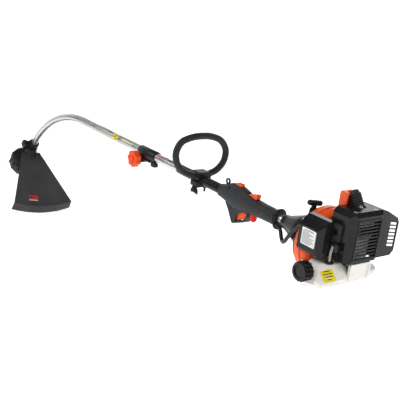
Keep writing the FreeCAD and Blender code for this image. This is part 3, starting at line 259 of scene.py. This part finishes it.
def make_finishes():
    """One finish per material slot of the record, and a few for the detail pieces."""
    black = (0.009, 0.009, 0.010)
    finishes = {
        "tube_aluminium": surface("tube_aluminium", (0.66, 0.67, 0.68), 0.34, 1.0, (2600, 0.10), (60, 0.09),
                                  ((0.45, 0.45, 0.46), 700, 0.5), ALONG_TUBE),
        "sleeve_rubber": surface("sleeve_rubber", black, 0.34, 0, (2200, 0.22), (40, 0.2)),
        "loop_rubber": surface("loop_rubber", (0.024, 0.024, 0.025), 0.42, 0, (1900, 0.35), (30, 0.2),
                               (SCUFF, 420, 0.12), pits=(900, 0.15)),
        "coupler_black": surface("coupler_black", (0.011, 0.011, 0.012), 0.34, 0, (1700, 0.25), (50, 0.2),
                                 (SCUFF, 500, 0.2)),
        "knob_orange": surface("knob_orange", (0.86, 0.085, 0.012), 0.40, 0, (1500, 0.3), (60, 0.12),
                               ((0.9, 0.3, 0.12), 480, 0.3)),
        "drive_steel": surface("drive_steel", (0.42, 0.42, 0.43), 0.32, 1.0, (2400, 0.15), (60, 0.15)),
        "screw_steel": surface("screw_steel", (0.62, 0.61, 0.58), 0.30, 1.0, (2600, 0.15), (90, 0.12),
                               ((0.32, 0.28, 0.22), 900, 0.4)),
        "cast_alloy": surface("cast_alloy", (0.42, 0.42, 0.42), 0.55, 1.0, (1300, 0.6), (50, 0.2),
                              pits=(520, 0.4)),
        "cover_black": surface("cover_black", black, 0.24, 0, (1100, 0.10), (25, 0.25), (SCUFF, 600, 0.05),
                               rough_spread=0.06, shader={"Coat Weight": 0.12, "Coat Roughness": 0.10}),
        "hidden_plastic": surface("hidden_plastic", (0.03, 0.03, 0.032), 0.45),
        "muffler_steel": surface("muffler_steel", (0.10, 0.085, 0.07), 0.5, 0.8, (900, 0.4), (35, 0.35),
                                 ((0.30, 0.14, 0.06), 240, 0.5)),
        "shroud_orange": surface("shroud_orange", (0.90, 0.115, 0.012), 0.30, 0, (1200, 0.12), (22, 0.10),
                                 ((0.95, 0.35, 0.16), 520, 0.2), rough_spread=0.06,
                                 shader={"Coat Weight": 0.25, "Coat Roughness": 0.15}),
        "lever_orange": surface("lever_orange", (0.90, 0.10, 0.012), 0.30, 0, (1300, 0.15), (60, 0.10)),
        "button_red": surface("button_red", (0.78, 0.012, 0.008), 0.25, 0, (1300, 0.10), (80, 0.10)),
        "grip_grey": surface("grip_grey", (0.028, 0.030, 0.033), 0.46, 0, (1500, 0.45), (28, 0.18),
                             ((0.14, 0.14, 0.145), 420, 0.25), pits=(750, 0.25)),
        "tank_white": surface("tank_white", (0.88, 0.86, 0.82), 0.34, 0, (900, 0.12), (14, 0.06),
                              ((0.62, 0.58, 0.48), 160, 0.25),
                              shader={"Subsurface Weight": 0.35, "Subsurface Radius": (0.01, 0.009, 0.007)}),
        "hose_clear": surface("hose_clear", (0.78, 0.76, 0.68), 0.12, 0, (900, 0.05), (120, 0.08),
                              shader={"Transmission Weight": 0.55, "IOR": 1.45}),
        "cable_black": surface("cable_black", (0.010, 0.010, 0.011), 0.40, 0, (1800, 0.2), (60, 0.2)),
        "rope_cord": surface("rope_cord", (0.62, 0.60, 0.56), 0.75, 0, (2400, 0.6), (300, 0.25)),
        "filter_foam": surface("filter_foam", (0.24, 0.21, 0.07), 0.9, 0, (1600, 0.9), (90, 0.3),
                               pits=(800, 0.8)),
        "guard_charcoal": surface("guard_charcoal", (0.050, 0.048, 0.050), 0.50, 0, (1300, 0.4), (9, 0.22),
                                  ((0.10, 0.10, 0.105), 260, 0.3), pits=(620, 0.2)),
        "head_black": surface("head_black", (0.010, 0.010, 0.011), 0.40, 0, (1500, 0.3), (40, 0.2),
                              (SCUFF, 380, 0.3)),
        "line_nylon": surface("line_nylon", (0.80, 0.74, 0.52), 0.35, 0, (2500, 0.1), (200, 0.08),
                              shader={"Subsurface Weight": 0.3, "Subsurface Radius": (0.002, 0.002, 0.001)}),
    }
    for name, (colour, rough, mottle) in LABEL_FINISHES.items():
        finishes[name] = surface(name, colour, rough, 0, (1400, 0.08), mottle)
    return finishes


# ---------------------------------------------------------------- carried-over CAD nodes
SOFT_EDGES = {  # edge rounding in millimetres; the other nodes keep their CAD edges
    "air_filter_cover": 1.6, "cylinder_cover": 1.2, "muffler_guard": 1.2, "fan_shroud": 0.8, "fuel_tank": 1.4,
    "coupler_body": 0.8, "coupler_knob": 1.0, "coupler_pin": 0.8, "loop_clamp_upper": 2.0,
    "loop_clamp_lower": 1.0, "loop_wing_nut": 0.8, "guard_clamp": 1.0, "guard_bolt": 0.8,
    "starter_grip": 3.4, "fuel_cap": 0.8, "throttle_trigger": 1.2, "lockout_lever": 1.2, "stop_switch": 1.2,
    "choke_lever": 0.6, "guard": 0.7, "head_housing": 1.0, "bump_knob": 1.0, "hanging_ring": 0.5,
    "grip_flange": 1.0, "carburettor": 0.6, "clutch_housing": 0.8, "spark_plug_boot": 0.5,
    "tank_grommet": 0.6, "socket_screws": 0.3, "grip_screws": 0.25,
}
WELD_GAP = 0.00001
BEVEL_SEGMENTS = 3
SHARP_ANGLE = math.radians(32)


def dress_nodes(finishes):
    for row in frame["record"]["subparts"]:
        node = NODES[row["node"]]
        node.data.materials.clear()
        node.data.materials.append(finishes[row["material_slot"]])
        if row["node"] in SOFT_EDGES:
            weld = node.modifiers.new("weld", "WELD")
            weld.merge_threshold = WELD_GAP
            bevel = node.modifiers.new("bevel", "BEVEL")
            bevel.width = SOFT_EDGES[row["node"]] * MM
            bevel.segments = BEVEL_SEGMENTS
            bevel.limit_method = "ANGLE"
            bevel.angle_limit = SHARP_ANGLE
            bevel.use_clamp_overlap = True
            bevel.harden_normals = True


# ---------------------------------------------------------------- detail pieces
LABEL_HEIGHT, LABEL_THICKNESS = 0.12, 0.08
PRINT_HEIGHT = 0.22
CORNER_R = 1.5
LATHE_SIDES = 40
CORD_SIDES = 4       # bevel resolution of a cord


def add_piece(name, verts, faces, body, finish, slot, smooth=True):
    mesh = bpy.data.meshes.new(name)
    mesh.from_pydata([tuple(v) for v in verts], [], faces)
    build = bmesh.new()
    build.from_mesh(mesh)
    bmesh.ops.recalc_face_normals(build, faces=build.faces)
    build.to_mesh(mesh)
    build.free()
    if smooth:
        mesh.shade_smooth()
    mesh.materials.append(finish)
    piece = bpy.data.objects.new(name, mesh)
    bpy.context.scene.collection.objects.link(piece)
    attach(piece, body)
    return piece


def sticker(name, spot, u_range, v_range, body, finish, slot, height=LABEL_HEIGHT, steps=(24, 8),
            corner=0.0):
    """A thin label on the surface spot(u, v, height), with rounded corners."""
    def row(level):
        grid = []
        for i in range(steps[0] + 1):
            for j in range(steps[1] + 1):
                u = u_range[0] + (u_range[1] - u_range[0]) * i / steps[0]
                v_part = j / steps[1] * 2 - 1
                middle, half = (v_range[0] + v_range[1]) / 2, (v_range[1] - v_range[0]) / 2
                edge = min(abs(u - u_range[0]), abs(u - u_range[1]))
                if corner and edge < corner:
                    pull = corner - math.sqrt(max(0.0, corner ** 2 - (corner - edge) ** 2))
                    half -= math.copysign(min(abs(half) * 0.9, pull), half)
                grid.append(spot(u, middle + half * v_part, level))
        return grid

    top, low = row(height), row(height - LABEL_THICKNESS)
    wide = steps[1] + 1
    faces = []
    for i in range(steps[0]):
        for j in range(steps[1]):
            a = i * wide + j
            faces.append((a, a + 1, a + wide + 1, a + wide))
    rim = list(range(wide))
    rim += [i * wide + steps[1] for i in range(1, steps[0] + 1)]
    rim += [steps[0] * wide + j for j in range(steps[1] - 1, -1, -1)]
    rim += [i * wide for i in range(steps[0] - 1, 0, -1)]
    count = len(top)
    faces += [(a, b, b + count, a + count) for a, b in zip(rim, rim[1:] + rim[:1])]
    return add_piece(name, top + low, faces, body, finish, slot, smooth=False)


def flat_spot(origin, u_way, v_way):
    """Points on a flat face: u and v in millimetres from the origin, height out of the face."""
    outward = Vector(u_way).normalized().cross(Vector(v_way).normalized())

    def spot(u, v, height):
        in_plane = Vector(u_way).normalized() * u + Vector(v_way).normalized() * v
        return place(*(Vector(origin) + in_plane + outward * height))
    return spot


def tube_spot(x, angle, height):
    """Points on the shaft tube: distance along it and the angle from the left towards the top."""
    radius = TUBE_R + height
    return place(x, radius * math.cos(angle), radius * math.sin(angle))


def bars(name, spot, u_range, rows, body, finish, slot, fills):
    """Plain bars that stand for a label's print. rows is (first v, thickness, pitch), and each row has its
    own part of the width in fills."""
    first, thickness, pitch = rows
    width = u_range[1] - u_range[0]
    for number, (start, end) in enumerate(fills):
        v = first + number * pitch
        sticker(f"{name}_{number}", spot, (u_range[0] + start * width, u_range[0] + end * width),
                (v, v + thickness), body, finish, slot, PRINT_HEIGHT, (10, 2))


FILTER_LABEL_CORNER = (-153, 86, 12)      # lower front corner, on the cover's left face
FILTER_LABEL_SIZE = (41, 37)
FILTER_ROW_FILLS = ((0, 0.7), (0, 0.95), (0, 0.82), (0, 0.9), (0, 0.6), (0, 0.88), (0, 0.5), (0.1, 0.9))
TANK_SLOPE_FOOT = Vector((-246, 93, -44))
TANK_SLOPE_RISE = Vector((25, 0, 27))
TANK_ROW_FILLS = ((0.3, 0.7), (0.0, 0.9), (0.08, 0.95), (0.2, 0.8))
SHAFT_FACE = math.radians(27)             # the side of the shaft that carries the labels
SHAFT_PRINTS = (  # name, range along the shaft, rows (first angle, thickness, pitch), body, finish, fills
    ("shaft_print", (812, 945), (0.62, 0.24, 0.40), "lower_unit", "label_ink",
     ((0.0, 0.18), (0.22, 0.52), (0.56, 0.66))),
    ("shaft_print_low", (805, 880), (-0.15, 0.24, 0.3), "lower_unit", "label_pale", ((0.0, 0.9),)),
    ("upper_print", (440, 540), (0.50, 0.26, 0.44), "engine_unit", "label_ink", ((0.0, 0.42), (0.5, 0.62))),
    ("upper_red_print", (446, 540), (-0.1, 0.14, 0.26), "engine_unit", "label_red",
     ((0.55, 0.98), (0.6, 0.9))),
)


def make_filter_label(finishes):
    face = flat_spot(FILTER_LABEL_CORNER, (-1, 0, 0), (0, 0, 1))
    wide, high = FILTER_LABEL_SIZE
    sticker("filter_label", face, (0, wide), (0, high), "engine_unit", finishes["label_white"], "cover_black",
            corner=CORNER_R)
    bars("filter_print", face, (3, 38), (4, 1.4, 4.0), "engine_unit", finishes["label_ink"], "cover_black",
         FILTER_ROW_FILLS)


def make_tank_label(finishes):
    face = flat_spot(TANK_SLOPE_FOOT, (0, -1, 0), TANK_SLOPE_RISE)
    sticker("tank_label", face, (0, 36), (3, 29), "engine_unit", finishes["label_yellow"], "tank_white",
            corner=CORNER_R)
    bars("tank_print", face, (3, 33), (7, 2.0, 6.0), "engine_unit", finishes["label_ink"], "tank_white",
         TANK_ROW_FILLS)


def make_shaft_labels(finishes):
    slot = "tube_aluminium"
    sticker("shaft_label", tube_spot, (766, 796), (SHAFT_FACE - 0.85, SHAFT_FACE + 0.75), "lower_unit",
            finishes["label_yellow"], slot)
    bars("shaft_mark", tube_spot, (768, 794), (SHAFT_FACE - 0.6, 0.2, 0.42), "lower_unit",
         finishes["label_ink"], slot, ((0.05, 0.55), (0.35, 0.95), (0.1, 0.7)))
    sticker("shaft_strip", tube_spot, (676, 742), (SHAFT_FACE - 0.15, SHAFT_FACE + 0.35), "lower_unit",
            finishes["label_pale"], slot)
    for name, along, (first, thickness, pitch), body, finish, fills in SHAFT_PRINTS:
        bars(name, tube_spot, along, (SHAFT_FACE + first, thickness, pitch), body, finishes[finish], slot,
             fills)


# The guard's sheet is a fan square to the head axis; these repeat its driving sizes.
BEND = math.radians(49.0)
HEAD_AXIS = Vector((math.cos(BEND), 0, -math.sin(BEND)))
HEAD_SIDE = Vector((-math.sin(BEND), 0, -math.cos(BEND)))
BEND_CENTRE, BEND_R = Vector((1020, 0, -535)), 535.0
TAIL_LENGTH = 48.0
TAIL_END = BEND_CENTRE + Vector((math.sin(BEND), 0, math.cos(BEND))) * BEND_R + HEAD_AXIS * TAIL_LENGTH
GUARD_START, GUARD_CONVERGE = 14.0, 108.0
GUARD_TILT = math.radians(91.5)
GUARD_TWIST = math.radians(4.5)
GUARD_LABEL_SWING = (0.06, 0.165)
GUARD_STEPS, GUARD_STEP_WIDTH, GUARD_STEP_HEIGHT = (150, 178, 236), 1.6, 0.5


def guard_spot(distance, swing, height):
    """Points on the guard's upper face: distance from its start and swing about its cone axis, in radians."""
    slope = HEAD_AXIS * math.cos(GUARD_TILT) + HEAD_SIDE * math.sin(GUARD_TILT)
    normal = HEAD_AXIS * math.sin(GUARD_TILT) - HEAD_SIDE * math.cos(GUARD_TILT)
    centre = TAIL_END + slope * (GUARD_START - GUARD_CONVERGE)
    point = TAIL_END + slope * (GUARD_START + distance) - normal * height - centre
    point = Matrix.Rotation(swing, 3, HEAD_AXIS) @ point + centre - TAIL_END
    point = Matrix.Rotation(GUARD_TWIST, 3, HEAD_AXIS) @ point + TAIL_END
    return place(*point)


def make_guard_details(finishes):
    body, slot = "lower_unit", "guard_charcoal"
    sticker("guard_label", guard_spot, (198, 214), GUARD_LABEL_SWING, body, finishes["label_red"], slot,
            steps=(6, 12))
    bars("guard_mark", guard_spot, (199, 213), (0.12, 0.014, 0.016), body, finishes["label_ink"], slot,
         ((0.1, 0.9), (0.2, 0.8), (0.1, 0.9)))
    sticker("guard_stripe", guard_spot, (217, 222), GUARD_LABEL_SWING, body, finishes["label_beige"], slot,
            steps=(3, 12))
    for number, distance in enumerate(GUARD_STEPS):
        sticker(f"guard_step_{number}", guard_spot, (distance, distance + GUARD_STEP_WIDTH), (-0.30, 0.30),
                body, finishes[slot], slot, height=GUARD_STEP_HEIGHT, steps=(3, 40))


def lathe(name, profile, centre, axis, body, finish, slot):
    """A turned piece: (distance along the axis, radius) points in millimetres, from the centre."""
    sides = LATHE_SIDES
    axis = Vector(axis).normalized()
    across = axis.orthogonal().normalized()
    other = axis.cross(across)
    verts, faces = [], []
    for along, radius in profile:
        for number in range(sides):
            angle = 2 * math.pi * number / sides
            out = across * math.cos(angle) + other * math.sin(angle)
            verts.append(place(*(Vector(centre) + axis * along + out * radius)))
    for ring in range(len(profile) - 1):
        for number in range(sides):
            step = (number + 1) % sides
            faces.append((ring * sides + number, ring * sides + step, (ring + 1) * sides + step,
                          (ring + 1) * sides + number))
    faces += [tuple(range(sides)), tuple((len(profile) - 1) * sides + number for number in range(sides))]
    return add_piece(name, verts, faces, body, finish, slot)


def tube_along(name, points, radius, body, finish):
    """A smooth cord or seam through points in millimetres."""
    curve = bpy.data.curves.new(name, "CURVE")
    curve.dimensions = "3D"
    curve.bevel_depth = radius * MM
    curve.bevel_resolution = CORD_SIDES
    spline = curve.splines.new("NURBS")
    spline.points.add(len(points) - 1)
    for target, point in zip(spline.points, points):
        target.co = (*place(*point), 1)
    spline.order_u = 3
    spline.use_endpoint_u = True
    curve.materials.append(finish)
    piece = bpy.data.objects.new(name, curve)
    bpy.context.scene.collection.objects.link(piece)
    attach(piece, body)
    return piece


GRIP_SCREW_HEAD = ((0, 3.0), (0.7, 3.0), (1.0, 2.6), (1.0, 1.2), (0.2, 1.0), (0.2, 0.1))
COVER_SCREW_HEAD = ((0, 4.2), (0.6, 4.2), (1.0, 3.6), (1.0, 1.8), (0.1, 1.6), (0.1, 0.1))
COVER_FOOT = ((0, 3.8), (4, 3.8), (5, 2.6), (5, 0.1))
GRIP_RIB = ((0, 15.0), (0.6, 15.9), (1.6, 15.9), (2.2, 15.0))
GRIP_RIBS_FROM, GRIP_RIB_PITCH, GRIP_RIB_COUNT = 20, 6, 6
TANK_SEAM = ((-247, 78, -30), (-243, 95, -33), (-226, 100.2, -30))
TANK_SEAM_R = 0.5


def make_small_parts(finishes):
    body, steel = "engine_unit", finishes["screw_steel"]
    lathe("tube_screw_head", GRIP_SCREW_HEAD, (68, 16.1, 1), (0, 1, 0), body, steel, "hidden_plastic")
    for number, y in enumerate((-31, 29)):
        lathe(f"cover_screw_{number}", COVER_SCREW_HEAD, (-238, y, 101.4), (0, 0, 1), body, steel,
              "cover_black")
    for number, x in enumerate((-240, -216)):
        lathe(f"cover_foot_{number}", COVER_FOOT, (x, 36, -7), (0, 0, -1), body, finishes["cover_black"],
              "cover_black")
    tube_along("tank_seam", TANK_SEAM, TANK_SEAM_R, body, finishes["tank_white"])
    for number in range(GRIP_RIB_COUNT):
        x = GRIP_RIBS_FROM + number * GRIP_RIB_PITCH
        lathe(f"grip_rib_{number}", GRIP_RIB, (x, 0, -2), (1, 0, 0), body, finishes["grip_grey"], "grip_grey")


def main():
    make_camera()
    make_world()
    make_studio()
    finishes = make_finishes()
    dress_nodes(finishes)
    make_filter_label(finishes)
    make_tank_label(finishes)
    make_shaft_labels(finishes)
    make_guard_details(finishes)
    make_small_parts(finishes)


main()
